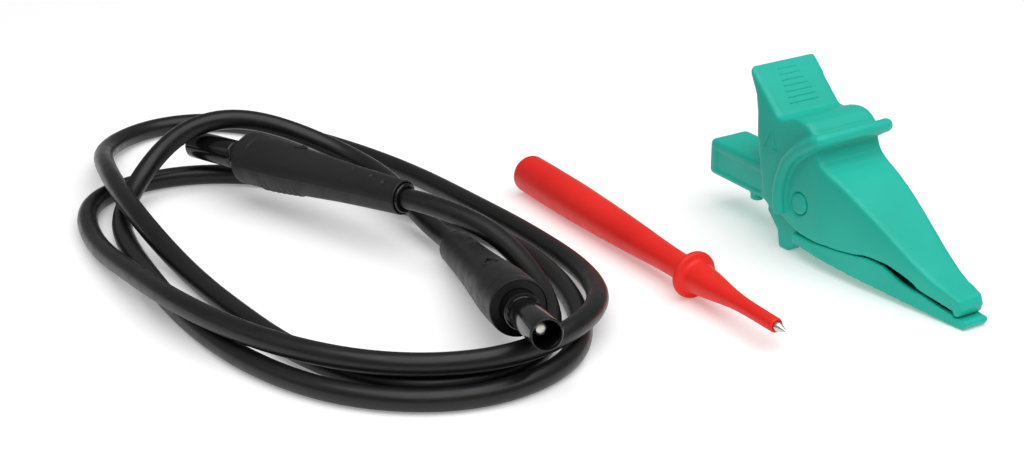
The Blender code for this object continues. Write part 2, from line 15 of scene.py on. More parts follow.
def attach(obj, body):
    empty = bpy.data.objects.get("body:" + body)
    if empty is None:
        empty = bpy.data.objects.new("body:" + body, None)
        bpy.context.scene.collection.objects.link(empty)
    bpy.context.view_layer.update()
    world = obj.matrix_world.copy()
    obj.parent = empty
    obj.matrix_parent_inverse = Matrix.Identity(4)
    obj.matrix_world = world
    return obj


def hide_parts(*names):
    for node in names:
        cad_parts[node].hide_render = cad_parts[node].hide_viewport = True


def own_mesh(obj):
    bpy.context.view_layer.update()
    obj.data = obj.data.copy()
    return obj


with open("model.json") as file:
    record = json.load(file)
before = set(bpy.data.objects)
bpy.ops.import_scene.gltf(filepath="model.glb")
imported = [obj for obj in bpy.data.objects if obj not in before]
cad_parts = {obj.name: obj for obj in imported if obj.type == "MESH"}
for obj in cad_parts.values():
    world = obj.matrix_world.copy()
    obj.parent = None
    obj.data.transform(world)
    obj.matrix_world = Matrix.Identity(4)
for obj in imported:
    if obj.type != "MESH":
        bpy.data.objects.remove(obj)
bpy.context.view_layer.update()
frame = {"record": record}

MM = 0.001
ROUND = 96

# Camera, as the picture was taken: low in front of the set, with a long lens.
CAMERA_PLACE = (-0.01191, -0.47585, 0.2184)
CAMERA_PITCH = 66.6
CAMERA_LENS = 70.77

# Cable.
CABLE_RADIUS = 2.8
CABLE_INSERTION = 0.011
CABLE_STRAIGHT = 0.009
CABLE_STEPS = 640
CABLE_EASING_ROUNDS = 36
CABLE_HELD_STRAIGHT = 0.018
CABLE_EASING_BLEND = 0.008
CABLE_ROUTE = [
    (-0.02491, 0.00395, 0.0162), (-0.01491, -0.00255, 0.0136), (-0.00191, -0.02605, 0.004),
    (-0.00791, -0.05505, 0.0028), (-0.03491, -0.06605, 0.0028), (-0.06091, -0.05005, 0.0028),
    (-0.07991, -0.02605, 0.0028), (-0.09691, -0.00105, 0.0036), (-0.11391, 0.02395, 0.0094),
    (-0.12591, 0.05195, 0.0098), (-0.13241, 0.08195, 0.0046), (-0.12391, 0.10395, 0.0029),
    (-0.10491, 0.11095, 0.0028), (-0.08291, 0.10195, 0.0028), (-0.06191, 0.08695, 0.0028),
    (-0.04191, 0.06795, 0.0028), (-0.02291, 0.04395, 0.0028), (-0.00491, 0.01895, 0.0028),
    (0.00739, -0.00805, 0.0048), (0.00839, -0.03805, 0.0088), (-0.01091, -0.06105, 0.0084),
    (-0.03991, -0.06605, 0.0086), (-0.06891, -0.05405, 0.0086), (-0.09191, -0.03405, 0.0086),
    (-0.10891, -0.00905, 0.006), (-0.12391, 0.01795, 0.0028), (-0.12991, 0.04695, 0.0028),
    (-0.10791, 0.06595, 0.0028), (-0.07791, 0.06395, 0.0028), (-0.05091, 0.04995, 0.0028),
    (-0.02691, 0.03095, 0.0028), (-0.00691, 0.00795, 0.0028), (0.00409, -0.02105, 0.0028),
    (0.00309, -0.05105, 0.0028), (-0.01891, -0.07105, 0.0028), (-0.04891, -0.07005, 0.0028),
    (-0.07391, -0.05305, 0.0028), (-0.09291, -0.02805, 0.0028), (-0.10691, -0.00105, 0.0028),
    (-0.11691, 0.02195, 0.0028), (-0.11991, 0.03795, 0.0028), (-0.11541, 0.05395, 0.0096),
    (-0.10591, 0.06195, 0.0189), (-0.09191, 0.06545, 0.0214), (-0.07791, 0.06745, 0.0172),
    (-0.06391, 0.06495, 0.012), (-0.05291, 0.05695, 0.0092), (-0.04491, 0.04395, 0.0092),
    (-0.03891, 0.03245, 0.0064), (-0.03341, 0.02345, 0.004),
]

# Finish of every moulded or plated surface.
COAT_ROUGHNESS = 0.1
SCRATCH_ROUGHNESS = 0.06

# Plug, from its tail at x = 0.
PLUG_LENGTH = 81.5
PLUG_FACE = 58.5
FACE_MOUNT_RADIUS = 5.55
BUSH_LENGTH = 8.0
RIBS = 7
RIB_START = 36.5
RIB_PITCH = 2.1
RIB_TURN = 290.0
MARK_TURN = 104.0
CORE_START = 25.0
CORE_STEP = 50.0
PIN_RADIUS = 2.0

# Probe, from its rear face at x = 0.
PROBE_LENGTH = 117.5
PROBE_TIP = 121.1
PROBE_GUARD = 82.5
PROBE_MOUNT_RADIUS = 4.625
SOCKET_BORE = 4.35
SOCKET_DEPTH = 24.0

# Clip: s along it, w across and z up, with the hinge on the line s = PIVOT_S, z = PIVOT_Z.
PIVOT_S = 5.5
PIVOT_Z = 16.3
CLIP_HALF_WIDTH = 11.0
CLIP_WALL = 1.8
CLIP_REAR = -30.0
SOCKET_REAR_S = -38.5
SOCKET_FRONT_S = -8.6
SOCKET_AXIS_Z = 14.75
SOCKET_HALF_WIDTH = 6.6
SOCKET_HALF_HEIGHT = 5.25
CHEEK_HALF_WIDTH = 8.9
CHEEK_WALL = 1.9
LOWER_WALL = 1.6
PLAN_LOW = -5.0
PLAN_HIGH = 60.0
BOSS_RADIUS = 2.9
PIN_SHAFT_RADIUS = 2.6
PIN_HOLE_RADIUS = 2.75
RIM_BEVEL = 0.8
EASED_STRIP = 1.5
EASED_ROUNDS = 26
BEAD_RADIUS = 1.85
BEAD_REACH = CLIP_HALF_WIDTH + 0.8
RIDGES = 7
RIDGE_RADIUS = 0.22
SPRING_COIL_RADIUS = 3.8
SPRING_WIRE_RADIUS = 0.55
SPRING_HALF_WIDTH = 3.2
SPRING_TURNS = 4
VOXEL = 0.34


# ---------------------------------------------------------------- frames

mounts = {mount["name"]: mount for mount in frame["record"]["mounts"]}
joints = {joint["name"]: joint for joint in frame["record"]["behaviour"]["joints"]}


def axes_frame(origin, x):
    """Frame in millimetres with +X along x and +Z as near to up as it can be."""
    x = Vector(x).normalized()
    y = Vector((0, 0, 1)).cross(x).normalized()
    z = x.cross(y)
    turn = Matrix((x, y, z)).transposed().to_4x4()
    return Matrix.Translation(origin) @ turn @ Matrix.Scale(MM, 4)


def mount_frame(name, sign, along, above):
    """Frame of a round piece from a mount that lies a known way along and above its axis."""
    mount = mounts[name]
    loose = axes_frame(mount["pos_m"], sign * Vector(mount["axis"]))
    return loose @ Matrix.Translation((-along, 0, -above))


def clip_frame():
    hinge = joints["clip_jaw_hinge"]
    across = -Vector(hinge["axis"])
    loose = axes_frame(hinge["pos_m"], across.cross(Vector((0, 0, 1))))
    return loose @ Matrix.Translation((-PIVOT_S, 0, -PIVOT_Z))


PLUG_A = mount_frame("plug_a_face", 1, PLUG_FACE, FACE_MOUNT_RADIUS)
PLUG_B = mount_frame("plug_b_face", 1, PLUG_FACE, FACE_MOUNT_RADIUS)
PROBE = mount_frame("probe_socket_face", -1, 0, PROBE_MOUNT_RADIUS)
CLIP = clip_frame()


# ---------------------------------------------------------------- materials

def node(tree, kind, **inputs):
    made = tree.nodes.new(kind)
    for key, value in inputs.items():
        made.inputs[key.replace("_", " ")].default_value = value
    return made


def noise(tree, place, scale, detail=3.0):
    made = node(tree, "ShaderNodeTexNoise", Scale=scale, Detail=detail)
    tree.links.new(place, made.inputs["Vector"])
    return made.outputs["Fac"]


def ramp(tree, value, low, high, low_colour, high_colour):
    made = tree.nodes.new("ShaderNodeValToRGB")
    made.color_ramp.elements[0].position = low
    made.color_ramp.elements[1].position = high
    made.color_ramp.elements[0].color = (*low_colour, 1.0)
    made.color_ramp.elements[1].color = (*high_colour, 1.0)
    tree.links.new(value, made.inputs["Fac"])
    return made.outputs["Color"]


def grey(tree, value, low, high, from_low, from_high):
    """Value spread over a new range and kept inside it."""
    made = node(tree, "ShaderNodeMapRange")
    made.clamp = True
    made.inputs["From Min"].default_value = from_low
    made.inputs["From Max"].default_value = from_high
    made.inputs["To Min"].default_value = low
    made.inputs["To Max"].default_value = high
    tree.links.new(value, made.inputs["Value"])
    return made.outputs["Result"]


def maths(tree, operation, first, second):
    made = tree.nodes.new("ShaderNodeMath")
    made.operation = operation
    for value, socket in zip((first, second), made.inputs):
        if isinstance(value, float):
            socket.default_value = value
        else:
            tree.links.new(value, socket)
    return made.outputs["Value"]


def surface(name, dark, light, roughness, grain, grain_height, metallic=0.0, specular=0.5, coat=0.0):
    """Moulded or plated surface: patchy colour, uneven gloss, fine grain and hairline scratches."""
    made = bpy.data.materials.new(name)
    made.use_nodes = True
    tree = made.node_tree
    shader = tree.nodes["Principled BSDF"]
    shader.inputs["Metallic"].default_value = metallic
    shader.inputs["Specular IOR Level"].default_value = specular
    shader.inputs["Coat Weight"].default_value = coat
    shader.inputs["Coat Roughness"].default_value = COAT_ROUGHNESS
    place = tree.nodes.new("ShaderNodeTexCoord").outputs["Object"]

    patches = noise(tree, place, 45.0, 4.0)
    tree.links.new(ramp(tree, patches, 0.3, 0.7, dark, light), shader.inputs["Base Color"])

    hairlines = node(tree, "ShaderNodeTexNoise", Scale=90.0, Detail=2.0, Distortion=2.5)
    stretched = tree.nodes.new("ShaderNodeMapping")
    stretched.inputs["Scale"].default_value = (1.0, 9.0, 5.0)
    stretched.inputs["Rotation"].default_value = (0.4, 0.7, 0.9)
    tree.links.new(place, stretched.inputs["Vector"])
    tree.links.new(stretched.outputs["Vector"], hairlines.inputs["Vector"])
    lines = grey(tree, maths(tree, "ABSOLUTE", maths(tree, "SUBTRACT", hairlines.outputs["Fac"], 0.5),
                             0.0), SCRATCH_ROUGHNESS, 0.0, 0.0, 0.006)

    gloss = grey(tree, noise(tree, place, 220.0, 5.0), roughness * 0.85, roughness * 1.2, 0.3, 0.7)
    tree.links.new(maths(tree, "ADD", gloss, lines), shader.inputs["Roughness"])

    fine = noise(tree, place, grain, 3.0)
    wavy = noise(tree, place, 120.0, 2.0)
    height = maths(tree, "ADD", fine, maths(tree, "MULTIPLY", wavy, 2.0))
    bump = node(tree, "ShaderNodeBump", Strength=0.6, Distance=grain_height)
    tree.links.new(height, bump.inputs["Height"])
    tree.links.new(bump.outputs["Normal"], shader.inputs["Normal"])
    return made


SOFT_GRIP = surface("soft_black_grip", (0.007, 0.007, 0.008), (0.012, 0.012, 0.013), 0.50, 2600.0,
                    0.00003, specular=0.35)
JACKET = surface("black_cable_jacket", (0.004, 0.004, 0.005), (0.008, 0.008, 0.009), 0.34, 1800.0,
                 0.00002, specular=0.38)
GLOSS_BLACK = surface("glossy_black_plastic", (0.004, 0.004, 0.004), (0.006, 0.006, 0.006), 0.14, 1500.0,
                      0.000006, specular=0.4, coat=0.05)
RED = surface("red_moulded_plastic", (0.78, 0.014, 0.009), (0.88, 0.022, 0.014), 0.44, 2200.0,
              0.000018, specular=0.3)
TEAL = surface("teal_moulded_plastic", (0.009, 0.45, 0.345), (0.012, 0.51, 0.395), 0.40, 2200.0,
               0.000018, specular=0.3)
NICKEL = surface("bright_nickel_plate", (0.56, 0.54, 0.50), (0.68, 0.66, 0.62), 0.26, 1400.0,
                 0.000006, metallic=1.0)
SPRING_STEEL = surface("drawn_spring_steel", (0.42, 0.42, 0.43), (0.58, 0.58, 0.60), 0.32, 2400.0,
                       0.00001, metallic=1.0)


# ---------------------------------------------------------------- mesh tools

def add_piece(name, mesh, finish, body, slot, *stands_for):
    """Put a finished mesh in the scene, riding on its body in place of its CAD nodes."""
    mesh.materials.clear()
    mesh.materials.append(finish)
    piece = bpy.data.objects.new(name, mesh)
    bpy.context.scene.collection.objects.link(piece)
    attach(piece, body)
    if stands_for:
        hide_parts(*stands_for)
    return piece


def smooth_shaded(mesh, angle=35):
    mesh.shade_smooth()
    mesh.set_sharp_from_angle(angle=radians(angle))
    return mesh


def mesh_from(work, name):
    bmesh.ops.remove_doubles(work, verts=work.verts, dist=0.0001)
    bmesh.ops.recalc_face_normals(work, faces=work.faces)
    mesh = bpy.data.meshes.new(name)
    work.to_mesh(mesh)
    work.free()
    return mesh


def even_points(line, count):
    """Points a constant length apart along a line of points."""
    travelled = [0.0]
    for start, stop in zip(line, line[1:]):
        travelled.append(travelled[-1] + (stop - start).length)
    points = []
    index = 0
    for step in range(count):
        target = travelled[-1] * step / (count - 1)
        while index < len(line) - 2 and travelled[index + 1] < target:
            index += 1
        share = (target - travelled[index]) / (travelled[index + 1] - travelled[index])
        points.append(line[index].lerp(line[index + 1], min(share, 1.0)))
    return points


def smooth_points(route, count):
    """Even points along the smooth curve that passes through every point of the route."""
    ends = [2 * route[0] - route[1]] + route + [2 * route[-1] - route[-2]]
    fine = []
    for before, start, stop, after in zip(ends, ends[1:], ends[2:], ends[3:]):
        for step in range(24):
            t = step / 24
            bend = (2 * before - 5 * start + 4 * stop - after) * t * t
            twist = (3 * start - before - 3 * stop + after) * t * t * t
            fine.append(start + 0.5 * ((stop - before) * t + bend + twist))
    fine.append(route[-1])
    return even_points(fine, count)


def eased(points, rounds, straight, blend):
    """Points with their bends evened out, except for a straight length at each end."""
    spacing = (points[1] - points[0]).length
    last = len(points) - 1
    for _ in range(rounds):
        before = [point.copy() for point in points]
        for index in range(1, last):
            reach = min(index, last - index) * spacing
            share = min(max((reach - straight) / blend, 0.0), 1.0)
            middle = (before[index - 1] + 2 * before[index] + before[index + 1]) / 4
            points[index] = before[index].lerp(middle, share)
    return points


def turned_mesh(name, outline, segments=ROUND, relief=None):
    """Solid turned about X from a closed outline of (x, radius), with a relief(x, turn) added."""
    work = bmesh.new()
    rings = []
    for x, radius in outline:
        if radius == 0:
            rings.append([work.verts.new((x, 0, 0))] * segments)
            continue
        ring = []
        for step in range(segments):
            turn = 2 * pi * step / segments
            reach = radius + (relief(x, radius, turn) if relief else 0.0)
            ring.append(work.verts.new((x, reach * cos(turn), reach * sin(turn))))
        rings.append(ring)
    for ring, following in zip(rings, rings[1:] + rings[:1]):
        for step in range(segments):
            after = (step + 1) % segments
            corners = [ring[step], ring[after], following[after], following[step]]
            corners = list(dict.fromkeys(corners))
            if len(corners) > 2:
                work.faces.new(corners)
    return mesh_from(work, name)


def softened(outline, spacing):
    """Outline with even points every spacing along a smooth curve through the ones given."""
    route = [Vector((x, r, 0.0)) for x, r in outline]
    length = sum((b - a).length for a, b in zip(route, route[1:]))
    points = smooth_points(route, max(3, round(length / spacing)))
    return [(point.x, point.y) for point in points]


def turned(name, outline, place, finish, body, slot, *stands_for, segments=ROUND, relief=None):
    mesh = turned_mesh(name, outline, segments, relief)
    mesh.transform(place)
    return add_piece(name, smooth_shaded(mesh), finish, body, slot, *stands_for)


def prism_mesh(name, outline, low, high, bevel=0.0):
    """Straight prism: an (s, z) outline swept across from w = low to w = high."""
    work = bmesh.new()
    near = [work.verts.new((s, low, z)) for s, z in outline]
    far = [work.verts.new((s, high, z)) for s, z in outline]
    work.faces.new(near)
    work.faces.new(far[::-1])
    for index in range(len(outline)):
        after = (index + 1) % len(outline)
        work.faces.new((near[after], near[index], far[index], far[after]))
    bmesh.ops.recalc_face_normals(work, faces=work.faces)
    if bevel:
        rims = [edge for edge in work.edges if edge.verts[0].co.y == edge.verts[1].co.y]
        bmesh.ops.bevel(work, geom=rims, offset=bevel, segments=3, profile=0.5, affect="EDGES",
                        clamp_overlap=True)
    return mesh_from(work, name)


def plan_mesh(name, outline, low, high):
    """Straight prism: an (s, w) plan outline raised from z = low to z = high."""
    work = bmesh.new()
    floor = [work.verts.new((s, w, low)) for s, w in outline]
    roof = [work.verts.new((s, w, high)) for s, w in outline]
    work.faces.new(floor)
    work.faces.new(roof[::-1])
    for index in range(len(outline)):
        after = (index + 1) % len(outline)
        work.faces.new((floor[after], floor[index], roof[index], roof[after]))
    bmesh.ops.recalc_face_normals(work, faces=work.faces)
    return mesh_from(work, name)


def box_mesh(name, low, high, bevel):
    """Block between two corners with every edge rounded."""
    work = bmesh.new()
    bmesh.ops.create_cube(work, size=1.0)
    size = Vector(high) - Vector(low)
    middle = (Vector(high) + Vector(low)) / 2
    for vert in work.verts:
        vert.co = Vector((vert.co.x * size.x, vert.co.y * size.y, vert.co.z * size.z)) + middle
    bmesh.ops.bevel(work, geom=work.edges, offset=bevel, segments=4, profile=0.5, affect="EDGES")
    return mesh_from(work, name)


def tube_mesh(name, points, radius, segments=20):
    """Round bead along a line of points, with closed ends."""
    curve = bpy.data.curves.new(name, "CURVE")
    curve.dimensions = "3D"
    curve.bevel_depth = radius
    curve.bevel_resolution = segments // 4
    curve.use_fill_caps = True
    spline = curve.splines.new("POLY")
    spline.points.add(len(points) - 1)
    for knot, point in zip(spline.points, points):
        knot.co = (*point, 1.0)
    guide = bpy.data.objects.new(name, curve)
    mesh = bpy.data.meshes.new_from_object(guide)
    bpy.data.objects.remove(guide, do_unlink=True)
    bpy.data.curves.remove(curve)
    return mesh


def guide_object(mesh):
    guide = bpy.data.objects.new(mesh.name, mesh)
    bpy.context.scene.collection.objects.link(guide)
    return guide


def applied(guide):
    """The guide's mesh with its modifiers applied; the guide itself goes."""
    bpy.context.view_layer.update()
    graph = bpy.context.evaluated_depsgraph_get()
    mesh = bpy.data.meshes.new_from_object(guide.evaluated_get(graph), depsgraph=graph)
    bpy.data.objects.remove(guide, do_unlink=True)
    return mesh


def carve(mesh, steps):
    """Mesh joined with or cut by each (operation, mesh) in turn."""
    body = guide_object(mesh)
    others = []
    for operation, other in steps:
        helper = guide_object(other)
        others.append(helper)
        change = body.modifiers.new(operation.lower(), "BOOLEAN")
        change.operation = operation
        change.solver = "EXACT"
        change.object = helper
    made = applied(body)
    for helper in others:
        bpy.data.objects.remove(helper, do_unlink=True)
    return made


def moulded(mesh, smoothing):
    """Mesh rebuilt as one fine skin, its corners rounded off as a moulding's are."""
    guide = guide_object(mesh)
    skin = guide.modifiers.new("skin", "REMESH")
    skin.mode = "VOXEL"
    skin.voxel_size = VOXEL
    ease = guide.modifiers.new("ease", "SMOOTH")
    ease.factor = 0.5
    ease.iterations = smoothing
    made = applied(guide)
    made.shade_smooth()
    return made


# ---------------------------------------------------------------- camera, light and floor

def camera():
    data = bpy.data.cameras.new("camera")
    data.lens = CAMERA_LENS
    data.sensor_width = 36.0
    data.clip_start = 0.01
    made = bpy.data.objects.new("camera", data)
    made.location = CAMERA_PLACE
    made.rotation_euler = (radians(CAMERA_PITCH), 0.0, 0.0)
    bpy.context.scene.collection.objects.link(made)
    bpy.context.scene.camera = made


def panel_light(name, place, target, size, power):
    data = bpy.data.lights.new(name, "AREA")
    data.shape = "RECTANGLE"
    data.size = size[0]
    data.size_y = size[1]
    data.energy = power
    made = bpy.data.objects.new(name, data)
    made.location = place
    made.rotation_euler = (Vector(target) - Vector(place)).to_track_quat("-Z", "Y").to_euler()
    bpy.context.scene.collection.objects.link(made)


def studio():
    panel_light("overhead", (0.15, -0.25, 1.0), (0, 0, 0), (1.6, 1.2), 13.5)
    panel_light("left_fill", (-0.9, -0.25, 0.6), (0, 0, 0), (0.5, 0.5), 0.4)
    world = bpy.data.worlds.new("studio")
    world.use_nodes = True
    world.node_tree.nodes["Background"].inputs["Color"].default_value = (1.0, 1.0, 1.0, 1.0)
    world.node_tree.nodes["Background"].inputs["Strength"].default_value = 0.25
    bpy.context.scene.world = world

    work = bmesh.new()
    bmesh.ops.create_grid(work, x_segments=1, y_segments=1, size=6.0)
    floor = bpy.data.objects.new("floor", mesh_from(work, "floor"))
    bpy.context.scene.collection.objects.link(floor)
    paper = bpy.data.materials.new("white_paper")
    paper.use_nodes = True
    shader = paper.node_tree.nodes["Principled BSDF"]
    shader.inputs["Base Color"].default_value = (0.85, 0.85, 0.85, 1.0)
    shader.inputs["Roughness"].default_value = 0.8
    shader.inputs["Specular IOR Level"].default_value = 0.1
    shader.inputs["Emission Color"].default_value = (1.0, 1.0, 1.0, 1.0)
    shader.inputs["Emission Strength"].default_value = 0.26
    floor.data.materials.append(paper)


# ---------------------------------------------------------------- cable

def cable():
    """Free cable between the two plugs, straight where it leaves each of them."""
    ends = []
    for place in (PLUG_A, PLUG_B):
        tail = place @ Vector((0, 0, 0))
        way = ((place @ Vector((1, 0, 0))) - tail).normalized()
        ends.append([tail + way * CABLE_INSERTION, tail, tail - way * CABLE_STRAIGHT])
    route = ends[0] + [Vector(point) for point in CABLE_ROUTE] + ends[1][::-1]
    curve = bpy.data.curves.new("cable_jacket", "CURVE")
    curve.dimensions = "3D"
    curve.bevel_depth = CABLE_RADIUS * MM
    curve.bevel_resolution = 8
    curve.use_fill_caps = True
    spline = curve.splines.new("POLY")
    points = smooth_points(route, CABLE_STEPS)
    for point in points:
        point.z = max(point.z, CABLE_RADIUS * MM)
    points = eased(points, CABLE_EASING_ROUNDS, CABLE_HELD_STRAIGHT, CABLE_EASING_BLEND)
    spline.points.add(len(points) - 1)
    for knot, point in zip(spline.points, points):
        knot.co = (*point, 1.0)
    spline.use_smooth = True
    curve.materials.append(JACKET)
    piece = bpy.data.objects.new("cable_jacket", curve)
    bpy.context.scene.collection.objects.link(piece)
    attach(piece, "lead")
    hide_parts("cable")


# ---------------------------------------------------------------- plugs

def bell(x, middle, width):
    return exp(-((x - middle) / width) ** 2)


def plug_relief(x, radius, turn):
    """Finger ribs underneath, part lines on both sides, and small dimples near the tail on top."""
    if radius < 4.65:
        return 0.0
    side = degrees(turn) % 360
    relief = 0.0
    rib_side = bell(side, RIB_TURN, 30)
    for index in range(RIBS):
        relief += 0.35 * rib_side * bell(x, RIB_START + RIB_PITCH * index, 0.55)
    for seam in (0, 180, 360):
        relief += 0.05 * bell(side, seam, 1.6) * (1.0 if x < 57 else 0.0)
    for spot, about in ((5.0, 62), (10.0, 74), (17.5, 84)):
        across = radians(side - about) * radius
        relief -= 0.5 * bell(hypot(x - spot, across), 0, 0.55)
    relief -= 0.24 * bell(x, 54.2, 0.28) * bell(side, 90, 55)
    return relief


def triangle_mark(name, place, body, slot, finish, size, line, height):
    """Plain raised triangle outline lying in the frame's XY plane."""
    corners = [Vector((size * cos(radians(a)), size * sin(radians(a)), 0)) for a in (90, 210, 330)]
    path = []
    for start, stop in zip(corners, corners[1:] + corners[:1]):
        path += [start.lerp(stop, step / 8) for step in range(8)]
    work = bmesh.new()
    rings = []
    for point in path:
        out = point.normalized()
        ring = []
        for turn in range(8):
            angle = 2 * pi * turn / 8
            lift = Vector((0, 0, 1)) * height * sin(angle)
            ring.append(work.verts.new(point + out * line * cos(angle) + lift))
        rings.append(ring)
    for ring, following in zip(rings, rings[1:] + rings[:1]):
        for step in range(8):
            after = (step + 1) % 8
            work.faces.new((ring[step], ring[after], following[after], following[step]))
    mesh = mesh_from(work, name)
    mesh.transform(place)
    return add_piece(name, smooth_shaded(mesh, 50), finish, body, slot)


def plug(label, place):
    skin = softened([(0.55, 4.7), (3.0, 4.75), (20.0, 5.4), (34.0, 6.3), (46.0, 7.1), (56.6, 7.25)], 0.2)
    lip = [(57.6, 7.24), (58.4, 7.21), (58.7, 7.15), (58.85, 7.06), (58.9, 6.98)]
    turned(f"plug_{label}_soft_grip", [
        (BUSH_LENGTH, 4.3), (0.05, 4.3), (0.0, 4.4), (0.1, 4.58), (0.3, 4.67),
        *skin, *lip, (58.8, 6.93), (57.8, 6.93), (57.8, 6.5), (CORE_STEP - 0.3, 6.5), (CORE_STEP - 0.3, 4.6),
        (CORE_START - 11.0, 4.6), (CORE_START - 11.0, CABLE_RADIUS + 0.3),
        (BUSH_LENGTH, CABLE_RADIUS + 0.3),
    ], place, SOFT_GRIP, "lead", "black_soft_grip", f"plug_{label}_grip", segments=180,
        relief=plug_relief)
    turned(f"plug_{label}_entry_bush", [
        (BUSH_LENGTH - 0.3, CABLE_RADIUS + 0.1), (-0.5, CABLE_RADIUS + 0.1), (-0.75, 3.0), (-0.8, 3.3),
        (-0.78, 3.6), (-0.65, 3.85), (-0.4, 4.0), (0.0, 4.0), (BUSH_LENGTH - 0.3, 4.0),
    ], place, GLOSS_BLACK, "lead", "black_gloss_plastic", f"plug_{label}_cable_bush")
    turned(f"plug_{label}_flange", [
        (CORE_START, PIN_RADIUS + 0.3), (CORE_START, 4.3), (CORE_STEP, 4.3), (CORE_STEP, 6.42),
        (57.9, 6.42), (57.9, 6.86), (58.42, 6.86), (PLUG_FACE, 6.8), (PLUG_FACE, 4.75), (58.4, 4.68),
        (52.0, 4.9), (52.0, PIN_RADIUS + 0.3),
    ], place, SOFT_GRIP, "lead", "black_soft_grip", f"plug_{label}_core")
    turned(f"plug_{label}_sheath", [
        (52.3, PIN_RADIUS + 0.3), (52.3, 4.6), (62.0, 4.6), (62.4, 4.55), (62.65, 4.4), (62.7, 4.2),
        (62.75, 3.85), (62.9, 3.72), (63.9, 3.7), (64.1, 3.8), (64.25, 3.93), (64.5, 4.0),
        (PLUG_LENGTH - 0.5, 4.0), (PLUG_LENGTH - 0.2, 3.95), (PLUG_LENGTH - 0.03, 3.82),
        (PLUG_LENGTH, 3.65), (PLUG_LENGTH - 0.05, 3.5), (PLUG_LENGTH - 0.2, 3.42),
        (PLUG_LENGTH - 0.5, 3.4), (64.4, 3.4), (64.1, 3.3), (64.0, 3.0), (64.0, PIN_RADIUS + 0.3),
    ], place, GLOSS_BLACK, "lead", "black_gloss_plastic", f"plug_{label}_shroud")
    mark = place @ Matrix.Rotation(radians(MARK_TURN - 90), 4, "X") @ Matrix.Translation((39.0, 0, 6.66))
    mark = mark @ Matrix.Rotation(radians(2.6), 4, "Y") @ Matrix.Rotation(pi / 2, 4, "Z")
    triangle_mark(f"plug_{label}_triangle", mark, "lead", "black_soft_grip", SOFT_GRIP, 2.0, 0.28, 0.3)
    turned(f"plug_{label}_contact_pin", [
        (CORE_START - 1.0, 0.0), (CORE_START - 1.0, PIN_RADIUS), (65.0, PIN_RADIUS), (65.4, 1.5),
        (73.6, 1.5), (74.0, PIN_RADIUS), (75.7, PIN_RADIUS), (76.1, 1.93), (76.45, 1.75), (76.7, 1.5),
        (76.85, 1.2), (76.9, 0.9), (76.9, 0.0),
    ], place, NICKEL, "lead", "nickel_plate", f"plug_{label}_pin")


def spring_cage(label, place):
    """Sprung band round the pin: slats that bow outwards between two rings."""
    work = bmesh.new()
    slats = 9
    for slat in range(slats):
        grid = []
        for step in range(13):
            share = step / 12
            x = 65.8 + 7.4 * share
            radius = 1.86 + 0.28 * sin(pi * share)
            row = []
            for side in range(5):
                turn = 2 * pi * (slat + 0.18 + 0.64 * side / 4) / slats
                row.append((x, radius, turn))
            grid.append(row)
        layers = []
        for extra in (0.0, 0.12):
            layer = []
            for row in grid:
                line = []
                for x, radius, turn in row:
                    reach = radius + extra
                    line.append(work.verts.new((x, reach * cos(turn), reach * sin(turn))))
                layer.append(line)
            layers.append(layer)
        inner, outer = layers
        rows, columns = len(inner), len(inner[0])
        for i in range(rows - 1):
            for j in range(columns - 1):
                work.faces.new((outer[i][j], outer[i + 1][j], outer[i + 1][j + 1], outer[i][j + 1]))
                work.faces.new((inner[i][j], inner[i][j + 1], inner[i + 1][j + 1], inner[i + 1][j]))
            for j in (0, columns - 1):
                work.faces.new((inner[i][j], inner[i + 1][j], outer[i + 1][j], outer[i][j]))
        for i in (0, rows - 1):
            for j in range(columns - 1):
                work.faces.new((inner[i][j], inner[i][j + 1], outer[i][j + 1], outer[i][j]))
    mesh = mesh_from(work, f"plug_{label}_spring_slats")
    mesh.transform(place)
    add_piece(f"plug_{label}_spring_slats", smooth_shaded(mesh, 50), NICKEL, "lead", "nickel_plate",
              f"plug_{label}_spring_cage")


# ---------------------------------------------------------------- probe

